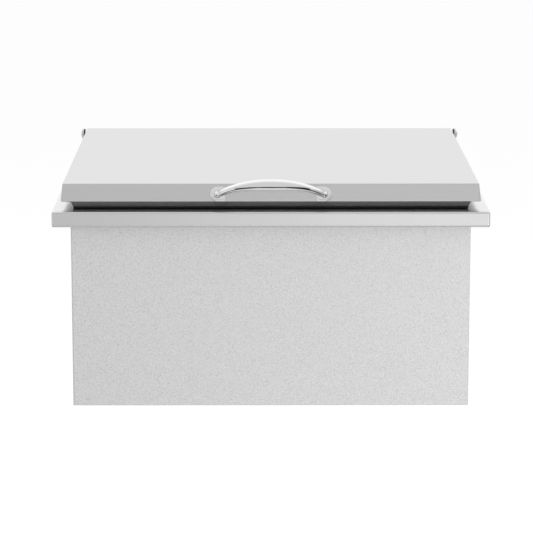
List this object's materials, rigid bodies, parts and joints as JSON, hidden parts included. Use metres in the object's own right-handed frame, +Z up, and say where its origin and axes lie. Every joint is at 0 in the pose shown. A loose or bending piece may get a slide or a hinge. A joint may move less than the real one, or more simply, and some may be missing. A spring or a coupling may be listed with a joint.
{
  "type": "drop-in ice bin",
  "caption": "Insulated stainless ice well that hangs by its flange in a worktop, with a hinged lid, a bow handle and a drain with a lift-out stopper.",
  "frame": {"origin": "centre of the worktop's surface in the cut-out, on which the flange's lip rests", "axes": "+X to the right seen from the front, +Y to the back, +Z up; the handle is at -Y"},
  "size_m": [0.7112, 0.6951, 0.4263],
  "materials": {
    "stainless_deck": "brushed",
    "stainless_lid": "brushed",
    "stainless_liner": "satin",
    "embossed_coated_steel": "embossed, metallic coated",
    "rivet_steel": "satin",
    "fastener_steel": "plain",
    "chrome": "polished",
    "black_rubber": "matte",
    "nylon": "plain",
    "drain_plastic": "moulded",
    "foam": "foamed in place"
  },
  "bodies": {
    "bin": {"counter_flange": "stainless_deck", "ice_liner": "stainless_liner", "foam_insulation": "foam", "outer_casing": "embossed_coated_steel", "casing_base": "embossed_coated_steel", "base_rivets": "rivet_steel", "seam_rivets": "rivet_steel", "drain_body": "drain_plastic", "drain_strainer": "stainless_liner", "drain_gasket": "black_rubber", "drain_washer": "black_rubber", "drain_locknut": "drain_plastic", "ear_screws": "fastener_steel", "ear_nuts": "fastener_steel", "hinge_ear_left": "stainless_deck", "hinge_bush_left": "nylon", "stop_pin_left": "fastener_steel", "hinge_ear_right": "stainless_deck", "hinge_bush_right": "nylon", "stop_pin_right": "fastener_steel"},
    "lid": {"lid_outer_pan": "stainless_lid", "lid_inner_pan": "stainless_liner", "lid_foam": "foam", "lid_gasket": "black_rubber", "handle_bar": "chrome", "handle_base_left": "chrome", "handle_base_right": "chrome", "handle_screws": "fastener_steel", "hinge_pin_left": "chrome", "hinge_pin_right": "chrome", "hinge_nut_left": "fastener_steel", "hinge_nut_right": "fastener_steel", "pivot_plate_left": "stainless_lid", "pivot_plate_right": "stainless_lid"},
    "stopper": {"drain_stopper": "black_rubber", "stopper_knob": "chrome"}
  },
  "joints": [
    {"name": "lid_hinge", "type": "hinge", "parent": "bin", "child": "lid", "pos_m": [0, 0.3002, 0.06145], "axis": [-1, 0, 0], "range_deg": [0, 100]},
    {"name": "stopper_lift", "type": "slide", "parent": "bin", "child": "stopper", "axis": [0, 0, 1], "range_m": [0, 0.06]}
  ]
}
